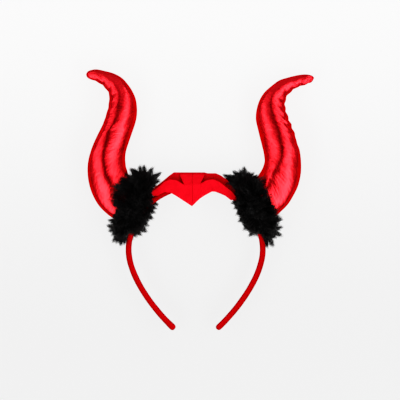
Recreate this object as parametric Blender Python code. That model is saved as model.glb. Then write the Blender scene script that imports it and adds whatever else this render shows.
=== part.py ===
"""Devil horns headband, lying on its back: a wrapped band, two stuffed horns, two fur trims, a felt brow peak.

World axes: +X to the right, +Y up the horns, +Z to the front of the headband. The floor is at z = 0.
"""

import math
import random

import bmesh
import bpy
from mathutils import Matrix, Vector

for old in list(bpy.data.objects):
    bpy.data.objects.remove(old)

MM = 0.001
CLEARANCE = 0.3 * MM

# Band: an arch on top, two arms that curve in to the tips
BAND_HALF_WIDTH = 67.2 * MM
BAND_CROWN_HEIGHT = 64.0 * MM
BAND_THICKNESS = 6.0 * MM
BAND_DEPTH = 9.5 * MM
BAND_CORNER = 1.9 * MM
CROWN_FLAT = 8.0 * MM
ARM_DROP = 76.9 * MM
ARM_STRAIGHT_TOP = 24.6 * MM
ARM_STRAIGHT_TIP = 29.1 * MM
TIP_HALF_GAP = 23.5 * MM
TIP_LEAN = math.radians(46.5)
TIP_ROUNDING = 3.2 * MM

# Horns: they stand on the arch, and lean out from where it is SEAT_ANGLE above the widest line
SEAT_ANGLE = math.radians(34)
HORN_REACH = 54.0 * MM
HORN_RISE = 145.0 * MM
HORN_DEPTH = 33.0 * MM
HORN_REST_FLAT = 0.8 * MM

# Fur trims, round the foot of each horn and the band
TRIM_LENGTH = 63.0 * MM
TRIM_WIDTH = 29.5 * MM
TRIM_DEPTH = 38.0 * MM
TRIM_LEAN = math.radians(23)
TRIM_OUTWARD = 8.3 * MM
TRIM_TO_CROWN = 5.2 * MM
LOCK_LENGTH = 12.0 * MM
LOCK_WIDTH = 8.0 * MM
LOCK_COUNT = 96

# Brow peak: folded felt on the front of the crown
PEAK_HALF_LENGTH = 44.0 * MM
PEAK_HEIGHT = 34.0 * MM
PEAK_BELOW_CROWN = 20.3 * MM
PEAK_TO_LEFT = 3.7 * MM
PEAK_FOLD_DEPTH = 10.0 * MM
PEAK_HEM = 3.6 * MM
PEAK_LIP = 2.6 * MM
FELT_WALL = 1.4 * MM

MID_HEIGHT = HORN_DEPTH / 2 - HORN_REST_FLAT
BAND_FRONT = MID_HEIGHT + BAND_DEPTH / 2

# Shares of HORN_REACH outwards, HORN_RISE upwards and HORN_DEPTH, from the seat on the band.
# outer out, outer up, inner out, inner up, depth
HORN_LEFT = [
    (0.11, -0.105, -0.22, 0.080, 0.62),
    (0.54, -0.015, 0.20, 0.275, 0.74),
    (0.74, 0.055, 0.26, 0.325, 0.88),
    (0.95, 0.235, 0.28, 0.390, 1.00),
    (0.95, 0.390, 0.24, 0.465, 1.00),
    (0.81, 0.530, 0.15, 0.560, 1.00),
    (0.66, 0.660, 0.07, 0.665, 0.93),
    (0.57, 0.780, 0.08, 0.785, 0.82),
    (0.58, 0.845, 0.20, 0.885, 0.70),
    (0.68, 0.890, 0.44, 0.970, 0.55),
    (0.83, 0.925, 0.72, 1.000, 0.40),
    (0.94, 0.935, 0.90, 1.000, 0.27),
    (0.98, 0.950, 0.98, 0.990, 0.17),
    (1.00, 0.964, 1.00, 0.974, 0.05),
]
HORN_RIGHT = [
    (0.11, -0.105, -0.22, 0.080, 0.62),
    (0.47, -0.010, 0.14, 0.280, 0.74),
    (0.70, 0.085, 0.22, 0.330, 0.88),
    (0.88, 0.235, 0.25, 0.385, 1.00),
    (0.92, 0.380, 0.22, 0.455, 1.00),
    (0.83, 0.510, 0.17, 0.525, 0.99),
    (0.72, 0.625, 0.11, 0.620, 0.92),
    (0.63, 0.735, 0.10, 0.710, 0.82),
    (0.64, 0.810, 0.21, 0.825, 0.71),
    (0.74, 0.855, 0.38, 0.890, 0.58),
    (0.89, 0.885, 0.60, 0.940, 0.44),
    (1.03, 0.905, 0.84, 0.960, 0.31),
    (1.12, 0.920, 1.08, 0.965, 0.19),
    (1.16, 0.941, 1.16, 0.951, 0.05),
]

# Shares of PEAK_HALF_LENGTH from the centre crease, PEAK_HEIGHT above the point, and PEAK_FOLD_DEPTH.
# top along, top up, low along, low up, flap along, flap up, flap forward
PEAK_FOLDS = [
    (-0.91, 0.49, -0.88, 0.30, -0.93, 0.41, 0.38),
    (-0.80, 0.61, -0.77, 0.31, -0.77, 0.55, 0.52),
    (-0.64, 0.77, -0.64, 0.41, -0.61, 0.71, 0.80),
    (-0.50, 0.92, -0.50, 0.40, -0.49, 0.78, 0.95),
    (-0.41, 1.00, -0.38, 0.31, -0.35, 0.76, 0.95),
    (-0.27, 1.00, -0.19, 0.16, -0.17, 0.63, 0.64),
    (0.00, 1.00, 0.00, 0.00, 0.00, 0.64, 0.74),
    (0.28, 1.00, 0.18, 0.23, 0.18, 0.66, 0.64),
    (0.35, 0.97, 0.31, 0.33, 0.34, 0.76, 0.92),
    (0.55, 0.97, 0.45, 0.43, 0.48, 0.78, 1.00),
    (0.66, 0.91, 0.61, 0.41, 0.61, 0.71, 0.86),
    (0.80, 0.77, 0.77, 0.29, 0.77, 0.56, 0.66),
    (0.91, 0.60, 0.89, 0.17, 0.90, 0.44, 0.52),
    (1.00, 0.44, 0.97, 0.21, 0.99, 0.29, 0.38),
]
PEAK_FACET_COLUMNS = (5, 6, 7)


def make_object(name, points, faces):
    mesh = bpy.data.meshes.new(name)
    mesh.from_pydata([tuple(point) for point in points], [], faces)
    shape = bmesh.new()
    shape.from_mesh(mesh)
    bmesh.ops.recalc_face_normals(shape, faces=shape.faces[:])
    shape.to_mesh(mesh)
    shape.free()
    made = bpy.data.objects.new(name, mesh)
    bpy.context.scene.collection.objects.link(made)
    return made


def loft(name, rings):
    """A closed skin over rings of equal length, with a flat cap on each end."""
    count = len(rings[0])
    points = [point for ring in rings for point in ring]
    faces = [tuple(range(count)), tuple(range(len(points) - count, len(points)))]
    for low in range(0, len(points) - count, count):
        for i in range(count):
            j = (i + 1) % count
            faces.append((low + i, low + j, low + count + j, low + count + i))
    return make_object(name, points, faces)


def prism(name, outline, low, high):
    return loft(name, [[Vector((x, y, z)) for x, y in outline] for z in (low, high)])


def bake(shape, steps):
    """Cuts or joins the helpers into the shape, in order, and leaves a plain mesh."""
    for operation, helper in steps:
        step = shape.modifiers.new(helper.name, "BOOLEAN")
        step.operation = operation
        step.solver = "EXACT"
        step.use_self = operation == "UNION"
        step.object = helper
        helper.hide_render = True
        helper.display_type = "WIRE"
    bpy.context.view_layer.update()
    graph = bpy.context.evaluated_depsgraph_get()
    result = bpy.data.meshes.new_from_object(shape.evaluated_get(graph))
    result.name = shape.name
    shape.modifiers.clear()
    shape.data = result


def finish(shape, colour, metallic, roughness):
    material = bpy.data.materials.new(shape.name)
    material.use_nodes = True
    surface = material.node_tree.nodes["Principled BSDF"]
    surface.inputs["Base Color"].default_value = (*colour, 1.0)
    surface.inputs["Metallic"].default_value = metallic
    surface.inputs["Roughness"].default_value = roughness
    shape.data.materials.clear()
    shape.data.materials.append(material)


def band_path():
    """Points and outward normals along the middle of the band, from the left tip over the crown to the right."""
    right = []
    flat = math.asin(CROWN_FLAT / 2 / BAND_HALF_WIDTH)
    steps = 17
    for i in range(steps + 1):
        turn = (math.pi / 2 - flat) * (1 - i / steps)
        point = Vector((BAND_HALF_WIDTH * math.cos(turn), BAND_CROWN_HEIGHT * math.sin(turn)))
        normal = Vector((math.cos(turn) / BAND_HALF_WIDTH, math.sin(turn) / BAND_CROWN_HEIGHT))
        right.append((point, normal.normalized()))
    tip_way = Vector((-math.sin(TIP_LEAN), -math.cos(TIP_LEAN)))
    start = Vector((BAND_HALF_WIDTH, 0))
    end = Vector((TIP_HALF_GAP, -ARM_DROP))
    pull_start = start - Vector((0, ARM_STRAIGHT_TOP))
    pull_end = end - tip_way * ARM_STRAIGHT_TIP
    steps = 14
    for i in range(1, steps + 1):
        t = i / steps
        s = 1 - t
        point = s**3 * start + 3 * s * s * t * pull_start + 3 * s * t * t * pull_end + t**3 * end
        way = s * s * (pull_start - start) + 2 * s * t * (pull_end - pull_start) + t * t * (end - pull_end)
        way.normalize()
        right.append((point, Vector((-way.y, way.x))))
    left = [(Vector((-p.x, p.y)), Vector((-n.x, n.y))) for p, n in reversed(right)]
    return left + right


def band_section(grow):
    """Rounded corners, as offsets outwards and to the front."""
    u = BAND_THICKNESS / 2 + grow
    v = BAND_DEPTH / 2 + grow
    corner = BAND_CORNER + grow
    section = []
    for quarter, (su, sv) in enumerate(((1, 1), (-1, 1), (-1, -1), (1, -1))):
        for i in range(3):
            turn = math.pi / 2 * (quarter + i / 2)
            across = su * (u - corner) + corner * math.cos(turn)
            section.append((across, sv * (v - corner) + corner * math.sin(turn)))
    return section


def make_band(name, path, grow):
    section = band_section(grow)
    stations = [(point, normal, 1.0) for point, normal in path]
    for end, inner in ((0, 1), (-1, -2)):
        point, normal = path[end]
        way = (point - path[inner][0]).normalized()
        for share, size in ((0.55, 0.84), (1.0, 0.45)):
            rounded = (point + way * (TIP_ROUNDING + grow) * share, normal, size)
            stations.insert(len(stations) if end else 0, rounded)
    rings = []
    for point, normal, size in stations:
        ring = []
        for across, front in section:
            place = point + normal * across * size
            ring.append(Vector((place.x, place.y, MID_HEIGHT + front * size)))
        rings.append(ring)
    return loft(name, rings)


def smooth_rows(rows, steps):
    """The rows of a table with steps - 1 more between each two, on a smooth curve through them."""
    made = []
    for k in range(len(rows) - 1):
        a = rows[max(k - 1, 0)]
        b, c = rows[k], rows[k + 1]
        d = rows[min(k + 2, len(rows) - 1)]
        for i in range(steps):
            t = i / steps
            row = []
            for p, q, r, s in zip(a, b, c, d):
                curve = (2 * p - 5 * q + 4 * r - s) * t * t + (3 * q - p - 3 * r + s) * t**3
                row.append(q + 0.5 * ((r - p) * t + curve))
            made.append(tuple(row))
    return made + [rows[-1]]


def seat_point(side):
    out = BAND_HALF_WIDTH * math.cos(SEAT_ANGLE)
    return Vector((side * out, BAND_CROWN_HEIGHT * math.sin(SEAT_ANGLE)))


def make_horn(name, side, rows, grow):
    seat = seat_point(side)
    around = 22
    rings = []
    for outer_out, outer_up, inner_out, inner_up, depth in smooth_rows(rows, 3):
        outer = seat + Vector((side * outer_out * HORN_REACH, outer_up * HORN_RISE))
        inner = seat + Vector((side * inner_out * HORN_REACH, inner_up * HORN_RISE))
        middle = (outer + inner) / 2
        half = outer - middle
        half = half * (1 + grow / half.length)
        ring = []
        for i in range(around):
            turn = 2 * math.pi * i / around
            place = middle + half * math.cos(turn)
            height = MID_HEIGHT + (depth * HORN_DEPTH / 2 + grow) * math.sin(turn)
            ring.append(Vector((place.x, place.y, max(height, -grow))))
        rings.append(ring)
    return loft(name, rings)


def band_inside(name, path, gap):
    """All that the band holds between its arms, out to the given gap beyond its outer face."""
    outline = [point + normal * (BAND_THICKNESS / 2 + gap) for point, normal in path]
    return prism(name, outline, -HORN_DEPTH, 2 * HORN_DEPTH)


def peak_points():
    """Top, back hem, front hem and flap edge of each fold, then the lip points of the centre facet."""
    corner = Vector((-PEAK_TO_LEFT, BAND_CROWN_HEIGHT - PEAK_BELOW_CROWN))
    back = BAND_FRONT + CLEARANCE
    columns = []
    for top_along, top_up, low_along, low_up, flap_along, flap_up, forward in PEAK_FOLDS:
        column = []
        for along, up, front in (
            (top_along, top_up, 0),
            (low_along, low_up, 0),
            (low_along, low_up, PEAK_HEM),
            (flap_along, flap_up, forward * PEAK_FOLD_DEPTH),
        ):
            place = corner + Vector((along * PEAK_HALF_LENGTH, up * PEAK_HEIGHT))
            column.append(Vector((place.x, place.y, back + front)))
        columns.append(column)
    lips = [columns[k][0] + Vector((0, -PEAK_LIP, PEAK_LIP)) for k in PEAK_FACET_COLUMNS]
    return columns, lips


def make_peak(name):
    columns, lips = peak_points()
    points = [point for column in columns for point in column] + lips
    faces = []
    for k in range(len(columns) - 1):
        top, low, hem, flap = range(4 * k, 4 * k + 4)
        faces.append((top, top + 4, low + 4, low))
        faces.append((low, low + 4, hem + 4, hem))
        faces.append((hem, hem + 4, flap + 4, flap))
    first_lip = 4 * len(columns)
    for i, k in enumerate(PEAK_FACET_COLUMNS[:-1]):
        lip = first_lip + i
        faces.append((lip, lip + 1, 4 * k + 4, 4 * k))
        faces.append((4 * k + 3, 4 * k + 7, lip + 1, lip))
    mesh = bpy.data.meshes.new(name)
    mesh.from_pydata([tuple(point) for point in points], [], faces)
    made = bpy.data.objects.new(name, mesh)
    bpy.context.scene.collection.objects.link(made)
    wall = made.modifiers.new("wall", "SOLIDIFY")
    wall.thickness = FELT_WALL
    wall.offset = -1.0
    wall.use_even_offset = True
    wall.use_quality_normals = True
    bake(made, [])
    return made


def peak_room(name):
    """The place that the fur leaves free for the felt."""
    columns, _ = peak_points()
    outline = [column[0].xy for column in columns] + [columns[-1][3].xy]
    outline += [column[1].xy for column in reversed(columns)] + [columns[0][3].xy]
    grown = []
    for i, point in enumerate(outline):
        way = outline[(i + 1) % len(outline)] - outline[i - 1]
        grown.append(point + Vector((-way.y, way.x)).normalized() * 2 * CLEARANCE)
    return prism(name, grown, BAND_FRONT, 3 * HORN_DEPTH)


def make_core(name, centre, lean):
    """An egg of fur backing, long across the horn's foot."""
    rings = []
    around = 20
    rows = 12
    for row in range(1, rows):
        tall = math.pi * row / rows
        ring = []
        for i in range(around):
            turn = 2 * math.pi * i / around
            place = Vector((math.sin(tall) * math.cos(turn) * TRIM_WIDTH / 2, -math.cos(tall) * TRIM_LENGTH / 2))
            place.rotate(lean)
            height = MID_HEIGHT + math.sin(tall) * math.sin(turn) * TRIM_DEPTH / 2
            ring.append(Vector((centre.x + place.x, centre.y + place.y, height)))
        rings.append(ring)
    return loft(name, rings)


def make_locks(name, side, centre, lean, seed):
    """Tapered locks that stand out of the core, each bent a little, with their roots sunk in it."""
    dice = random.Random(seed)
    points = []
    faces = []
    around = 5
    golden = math.pi * (3 - math.sqrt(5))
    away = Vector((side * math.cos(TRIM_LEAN), math.sin(TRIM_LEAN), 0))
    for k in range(LOCK_COUNT):
        level = 1 - (k + 0.5) / LOCK_COUNT * 2
        ring = math.sqrt(1 - level * level)
        on = Vector((ring * math.cos(golden * k), level, ring * math.sin(golden * k)))
        if on.z < -0.5:
            continue
        root = Vector((on.x * TRIM_WIDTH / 2, on.y * TRIM_LENGTH / 2, on.z * TRIM_DEPTH / 2))
        normal = Vector((on.x / TRIM_WIDTH, on.y / TRIM_LENGTH, on.z / TRIM_DEPTH)).normalized()
        for vector in (root, normal):
            flat = vector.xy
            flat.rotate(lean)
            vector.xy = flat
        root += Vector((centre.x, centre.y, MID_HEIGHT))
        stray = Vector((dice.uniform(-1, 1), dice.uniform(-1, 1), dice.uniform(-0.6, 0.6)))
        way = (normal + 0.28 * stray + 0.12 * away * max(normal.z, 0)).normalized()
        length = LOCK_LENGTH * dice.uniform(0.82, 1.12)
        bend = (way + 0.35 * Vector((dice.uniform(-1, 1), dice.uniform(-1, 1), -0.2))).normalized()
        start = root - way * 0.25 * length
        knee = start + way * 0.62 * length
        side_way = way.orthogonal().normalized()
        up_way = way.cross(side_way)
        first = len(points)
        for place, width in ((start, 1.0), (knee, 0.66)):
            for i in range(around):
                turn = 2 * math.pi * i / around
                spread = side_way * math.cos(turn) + up_way * math.sin(turn)
                points.append(place + spread * width * LOCK_WIDTH / 2)
        points.append(knee + bend * 0.63 * length)
        faces.append(tuple(range(first, first + around)))
        for i in range(around):
            j = (i + 1) % around
            low, high = first + i, first + around + i
            faces.append((low, first + j, first + around + j, high))
            faces.append((high, first + around + j, first + 2 * around))
    return make_object(name, points, faces)


def keep_largest(shape):
    """Drops the loose crumbs that a cut can leave beside the main body."""
    body = bmesh.new()
    body.from_mesh(shape.data)
    left = set(body.verts)
    largest = set()
    while left:
        island = set()
        queue = [left.pop()]
        while queue:
            vert = queue.pop()
            island.add(vert)
            for edge in vert.link_edges:
                other = edge.other_vert(vert)
                if other in left:
                    left.remove(other)
                    queue.append(other)
        if len(island) > len(largest):
            largest = island
    bmesh.ops.delete(body, geom=[v for v in body.verts if v not in largest], context="VERTS")
    body.to_mesh(shape.data)
    body.free()


def make_trim(name, side, rows, path, seed):
    away = Vector((side * math.cos(TRIM_LEAN), math.sin(TRIM_LEAN)))
    along = Vector((-side * math.sin(TRIM_LEAN), math.cos(TRIM_LEAN)))
    centre = seat_point(side) + away * TRIM_OUTWARD + along * TRIM_TO_CROWN
    lean = Matrix.Rotation(side * TRIM_LEAN, 2)
    trim = make_core(name, centre, lean)
    locks = make_locks(name + "_locks", side, centre, lean, seed)
    foot = make_horn(name + "_horn_room", side, rows, CLEARANCE)
    bake(foot, [("DIFFERENCE", band_inside(name + "_foot_end", path, 0.0))])
    band = make_band(name + "_band_room", path, CLEARANCE)
    peak = peak_room(name + "_peak_room")
    wide = 4 * BAND_HALF_WIDTH
    square = [Vector((x, y)) for x, y in ((-wide, -wide), (wide, -wide), (wide, wide), (-wide, wide))]
    floor = prism(name + "_floor", square, -HORN_DEPTH, 0.0)
    bake(trim, [("UNION", locks)])
    for room in (foot, band, peak, floor):
        bake(trim, [("DIFFERENCE", room)])
    keep_largest(trim)
    return trim


PATH = band_path()

BAND = make_band("headband", PATH, 0.0)
finish(BAND, (0.55, 0.01, 0.02), 0.3, 0.35)

HORNS = []
for horn_name, horn_side, horn_rows in (("horn_left", -1, HORN_LEFT), ("horn_right", 1, HORN_RIGHT)):
    horn = make_horn(horn_name, horn_side, horn_rows, 0.0)
    bake(horn, [("DIFFERENCE", band_inside(horn_name + "_seat", PATH, CLEARANCE))])
    finish(horn, (0.70, 0.01, 0.03), 0.8, 0.3)
    HORNS.append(horn)

PEAK = make_peak("brow_peak")
finish(PEAK, (0.80, 0.01, 0.02), 0.0, 0.95)

TRIMS = []
for trim_name, trim_side, trim_rows, trim_seed in (
    ("fur_trim_left", -1, HORN_LEFT, 5),
    ("fur_trim_right", 1, HORN_RIGHT, 9),
):
    trim = make_trim(trim_name, trim_side, trim_rows, PATH, trim_seed)
    finish(trim, (0.01, 0.01, 0.01), 0.0, 0.9)
    TRIMS.append(trim)

for helper in [item for item in bpy.data.objects if item.hide_render]:
    bpy.data.objects.remove(helper)

# The middle of the whole headband, seen from above, is the origin
PIECES = [BAND, PEAK] + HORNS + TRIMS
spots = [vertex.co for piece in PIECES for vertex in piece.data.vertices]
middle_x = (min(spot.x for spot in spots) + max(spot.x for spot in spots)) / 2
middle_y = (min(spot.y for spot in spots) + max(spot.y for spot in spots)) / 2
for piece in PIECES:
    piece.data.transform(Matrix.Translation((-middle_x, -middle_y, 0.0)))
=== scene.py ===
import math

import bmesh
import bpy
import numpy as np
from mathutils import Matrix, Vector
from mathutils.noise import noise


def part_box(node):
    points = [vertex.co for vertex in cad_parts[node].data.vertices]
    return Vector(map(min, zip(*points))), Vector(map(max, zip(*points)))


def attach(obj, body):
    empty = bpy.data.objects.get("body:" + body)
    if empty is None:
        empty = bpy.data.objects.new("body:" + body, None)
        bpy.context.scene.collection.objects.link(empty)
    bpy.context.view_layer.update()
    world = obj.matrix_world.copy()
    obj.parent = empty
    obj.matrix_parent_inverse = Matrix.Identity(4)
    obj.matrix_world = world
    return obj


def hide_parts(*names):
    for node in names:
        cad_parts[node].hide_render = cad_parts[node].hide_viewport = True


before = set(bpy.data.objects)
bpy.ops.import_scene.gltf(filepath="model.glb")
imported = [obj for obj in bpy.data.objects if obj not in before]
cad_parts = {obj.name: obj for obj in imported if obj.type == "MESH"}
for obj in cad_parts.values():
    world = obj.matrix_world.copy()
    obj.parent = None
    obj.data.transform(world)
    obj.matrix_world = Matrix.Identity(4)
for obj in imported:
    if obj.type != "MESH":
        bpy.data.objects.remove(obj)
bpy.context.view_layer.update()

# The headband: a springy plastic hoop, open below, wrapped from tip to tip in red satin ribbon.
# The ribbon is glued lengthwise, with its fine ribs along the hoop and its edges meeting on the
# inner side, and it is folded over and rounded off at both tips.
HOOP_LOW, HOOP_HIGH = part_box("headband")
HOOP_HALF_THICKNESS = 0.0030
HOOP_HALF_WIDTH = (HOOP_HIGH.x - HOOP_LOW.x) / 2 - HOOP_HALF_THICKNESS
HOOP_CROWN_HEIGHT = 0.0640
HOOP_MIDDLE = Vector((
    (HOOP_LOW.x + HOOP_HIGH.x) / 2,
    HOOP_HIGH.y - HOOP_CROWN_HEIGHT - HOOP_HALF_THICKNESS + 0.0001,
    (HOOP_LOW.z + HOOP_HIGH.z) / 2,
))
HOOP_HALF_DEPTH = (HOOP_HIGH.z - HOOP_LOW.z) / 2
HOOP_ROUND = 0.029
HOOP_CORNER = 0.62
HOOP_TIP = 0.0034
ARM_END = Vector((0.0235, -0.0769))
ARM_END_LEAN = math.radians(46.5)
ARM_END_WAY = Vector((-math.sin(ARM_END_LEAN), -math.cos(ARM_END_LEAN)))
ARM_START_PULL = 0.0246
ARM_END_PULL = 0.0291


def draw_out(name, rings, round_length):
    """Draws a circle out ring by ring into a closed skin. Its UV map is in metres, round and along."""
    count = len(rings[0])
    shape = bmesh.new()
    spot = shape.verts.layers.int.new("spot")
    row = shape.verts.layers.int.new("row")
    verts = bmesh.ops.create_circle(shape, segments=count, radius=0.01)["verts"]
    for i, vert in enumerate(verts):
        vert[spot] = i
        vert.co = rings[0][i]
    edges = shape.edges[:]
    for k in range(1, len(rings)):
        made = bmesh.ops.extrude_edge_only(shape, edges=edges)["geom"]
        edges = [item for item in made if isinstance(item, bmesh.types.BMEdge)]
        for item in made:
            if isinstance(item, bmesh.types.BMVert):
                item[row] = k
                item.co = rings[k][item[spot]]
    along = [0.0]
    for k in range(1, len(rings)):
        step = sum((Vector(rings[k][i]) - Vector(rings[k - 1][i])).length for i in range(0, count, 4))
        along.append(along[-1] + step / len(range(0, count, 4)))
    uv = shape.loops.layers.uv.new("UVMap")
    for face in shape.faces:
        wraps = max(v[spot] for v in face.verts) - min(v[spot] for v in face.verts) > 1
        for loop in face.loops:
            around = loop.vert[spot] / count
            if wraps and loop.vert[spot] == 0:
                around = 1.0
            loop[uv].uv = (around * round_length, along[loop.vert[row]])
    caps = bmesh.ops.holes_fill(shape, edges=[e for e in shape.edges if e.is_boundary], sides=0)["faces"]
    bmesh.ops.poke(shape, faces=caps)
    bmesh.ops.recalc_face_normals(shape, faces=shape.faces[:])
    for face in shape.faces:
        face.smooth = True
    mesh = bpy.data.meshes.new(name)
    shape.to_mesh(mesh)
    shape.free()
    piece = bpy.data.objects.new(name, mesh)
    bpy.context.scene.collection.objects.link(piece)
    return piece


def hoop_half():
    """Stations from the crown to the right tip: place and outward way."""
    stations = []
    for turn in np.linspace(math.pi / 2, 0, 90, endpoint=False).tolist():
        place = Vector((HOOP_HALF_WIDTH * math.cos(turn), HOOP_CROWN_HEIGHT * math.sin(turn)))
        way = Vector((math.cos(turn) / HOOP_HALF_WIDTH, math.sin(turn) / HOOP_CROWN_HEIGHT))
        stations.append((place, way.normalized()))
    start = Vector((HOOP_HALF_WIDTH, 0))
    pull_start = start - Vector((0, ARM_START_PULL))
    pull_end = ARM_END - ARM_END_WAY * ARM_END_PULL
    for t in np.linspace(0, 1, 80).tolist():
        s = 1 - t
        place = s**3 * start + 3 * s * s * t * pull_start + 3 * s * t * t * pull_end + t**3 * ARM_END
        way = s * s * (pull_start - start) + 2 * s * t * (pull_end - pull_start)
        way += t * t * (ARM_END - pull_end)
        way.normalize()
        stations.append((place, Vector((-way.y, way.x))))
    return stations


def hoop_rings():
    """Rings of the wrapped hoop from the left tip over the crown to the right, with rounded tips."""
    half = hoop_half()
    path = [(Vector((-p.x, p.y)), Vector((-n.x, n.y))) for p, n in reversed(half[1:])] + half
    sized = [(p, n, 1.0) for p, n in path]
    for right in (False, True):
        place, way = path[-1 if right else 0]
        on = ARM_END_WAY if right else Vector((-ARM_END_WAY.x, ARM_END_WAY.y))
        for turn in np.linspace(0.2, 1.5, 9).tolist():
            bit = (place + on * HOOP_TIP * math.sin(turn), way, math.cos(turn) ** 0.7)
            sized.insert(len(sized) if right else 0, bit)
    rings = []
    for k, (place, way, size) in enumerate(sized):
        left_tip = math.exp(-(((k - 8) / 7) ** 2))
        swell = 1 + 0.10 * left_tip
        ring = []
        for i in range(32):
            turn = 2 * math.pi * i / 32
            c, s = math.cos(turn), math.sin(turn)
            u = math.copysign(abs(c) ** HOOP_CORNER, c) * HOOP_HALF_THICKNESS * swell
            v = math.copysign(abs(s) ** HOOP_CORNER, s) * HOOP_HALF_DEPTH
            wave = noise(Vector((k * 0.09, i * 0.35, 3.0))) * 0.00012
            flat = place + way * (u + wave) * size
            ring.append((HOOP_MIDDLE.x + flat.x, HOOP_MIDDLE.y + flat.y, HOOP_MIDDLE.z + v * size))
        rings.append(ring)
    return rings


def weave_group():
    """Fine threads on a cloth: UV in metres in, a height and a shade that vary over the cloth out."""
    group = bpy.data.node_groups.new("thread weave", "ShaderNodeTree")
    group.interface.new_socket("Vector", in_out="INPUT", socket_type="NodeSocketVector")
    group.interface.new_socket("Threads per metre", in_out="INPUT", socket_type="NodeSocketFloat")
    group.interface.new_socket("Height", in_out="OUTPUT", socket_type="NodeSocketFloat")
    group.interface.new_socket("Shade", in_out="OUTPUT", socket_type="NodeSocketFloat")
    nodes, links = group.nodes, group.links
    given = nodes.new("NodeGroupInput")
    result = nodes.new("NodeGroupOutput")
    grow = nodes.new("ShaderNodeVectorMath")
    grow.operation = "SCALE"
    links.new(given.outputs["Vector"], grow.inputs[0])
    links.new(given.outputs["Threads per metre"], grow.inputs["Scale"])
    waves = []
    for way in ("X", "Y"):
        wave = nodes.new("ShaderNodeTexWave")
        wave.bands_direction = way
        wave.inputs["Scale"].default_value = 0.314
        wave.inputs["Distortion"].default_value = 0.6
        wave.inputs["Detail"].default_value = 1.0
        links.new(grow.outputs["Vector"], wave.inputs["Vector"])
        waves.append(wave)
    cross = nodes.new("ShaderNodeMath")
    cross.operation = "MULTIPLY"
    links.new(waves[0].outputs["Fac"], cross.inputs[0])
    links.new(waves[1].outputs["Fac"], cross.inputs[1])
    links.new(cross.outputs[0], result.inputs["Height"])
    patch = nodes.new("ShaderNodeTexNoise")
    patch.inputs["Scale"].default_value = 0.06
    patch.inputs["Detail"].default_value = 4.0
    links.new(grow.outputs["Vector"], patch.inputs["Vector"])
    links.new(patch.outputs["Fac"], result.inputs["Shade"])
    return group


weave = weave_group()


def new_finish(name):
    """An empty material with its shader, and short ways to add nodes and links."""
    material = bpy.data.materials.new(name)
    material.use_nodes = True
    tree = material.node_tree
    return material, tree.nodes, tree.links, tree.nodes["Principled BSDF"]


def ribbon_finish():
    """Red satin with fine ribs along it, with painted sheen: a lighter, more crimson red where it goes
    round the inner side.
    """
    material, nodes, links, satin = new_finish("red satin ribbon")
    satin.inputs["Roughness"].default_value = 0.5
    satin.inputs["Specular IOR Level"].default_value = 0.01
    place = nodes.new("ShaderNodeUVMap")
    place.uv_map = "UVMap"
    threads = nodes.new("ShaderNodeGroup")
    threads.node_tree = weave
    threads.inputs["Threads per metre"].default_value = 2600.0
    links.new(place.outputs["UV"], threads.inputs["Vector"])
    ribs = nodes.new("ShaderNodeTexWave")
    ribs.bands_direction = "X"
    ribs.inputs["Scale"].default_value = 260.0
    ribs.inputs["Distortion"].default_value = 1.2
    ribs.inputs["Detail Scale"].default_value = 0.3
    links.new(place.outputs["UV"], ribs.inputs["Vector"])
    colour = nodes.new("ShaderNodeValToRGB")
    colour.color_ramp.elements[0].color = (0.18, 0.0, 0.0005, 1)
    colour.color_ramp.elements[1].color = (0.34, 0.0, 0.001, 1)
    mix = nodes.new("ShaderNodeMath")
    mix.operation = "MULTIPLY_ADD"
    mix.inputs[1].default_value = 0.35
    links.new(ribs.outputs["Fac"], mix.inputs[0])
    half = nodes.new("ShaderNodeMath")
    half.operation = "MULTIPLY"
    half.inputs[1].default_value = 0.8
    links.new(threads.outputs["Shade"], half.inputs[0])
    links.new(half.outputs[0], mix.inputs[2])
    links.new(mix.outputs[0], colour.inputs["Fac"])
    # painted sheen: round the inner side the satin is mixed towards a lighter, more crimson red
    split = nodes.new("ShaderNodeSeparateXYZ")
    links.new(place.outputs["UV"], split.inputs["Vector"])
    side = nodes.new("ShaderNodeMath")
    side.operation = "MULTIPLY"
    side.inputs[1].default_value = 2 * math.pi / HOOP_ROUND
    links.new(split.outputs["X"], side.inputs[0])
    wave = nodes.new("ShaderNodeMath")
    wave.operation = "COSINE"
    links.new(side.outputs[0], wave.inputs[0])
    inner = nodes.new("ShaderNodeMapRange")
    inner.inputs["From Min"].default_value = 0.25
    inner.inputs["From Max"].default_value = -0.25
    inner.inputs["To Max"].default_value = 0.8
    links.new(wave.outputs[0], inner.inputs["Value"])
    painted_sheen = nodes.new("ShaderNodeMix")
    painted_sheen.data_type = "RGBA"
    painted_sheen.inputs["B"].default_value = (0.36, 0.0, 0.004, 1)
    links.new(inner.outputs["Result"], painted_sheen.inputs["Factor"])
    links.new(colour.outputs["Color"], painted_sheen.inputs["A"])
    links.new(painted_sheen.outputs["Result"], satin.inputs["Base Color"])
    bump = nodes.new("ShaderNodeBump")
    bump.inputs["Strength"].default_value = 0.35
    bump.inputs["Distance"].default_value = 0.00008
    links.new(ribs.outputs["Fac"], bump.inputs["Height"])
    links.new(bump.outputs["Normal"], satin.inputs["Normal"])
    return material


hoop = draw_out("ribbon_hoop", hoop_rings(), HOOP_ROUND)
hoop.data.materials.append(ribbon_finish())
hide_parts("headband")
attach(hoop, "root")

# The horns: two stuffed horns of thin shiny red lame, each of a front and a back panel sewn
# together along both edges and turned. The seam on the hollow side is gathered, so the cloth
# puckers beside it. A soft crest runs up the front, and the back is pressed flat by the floor.

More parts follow.
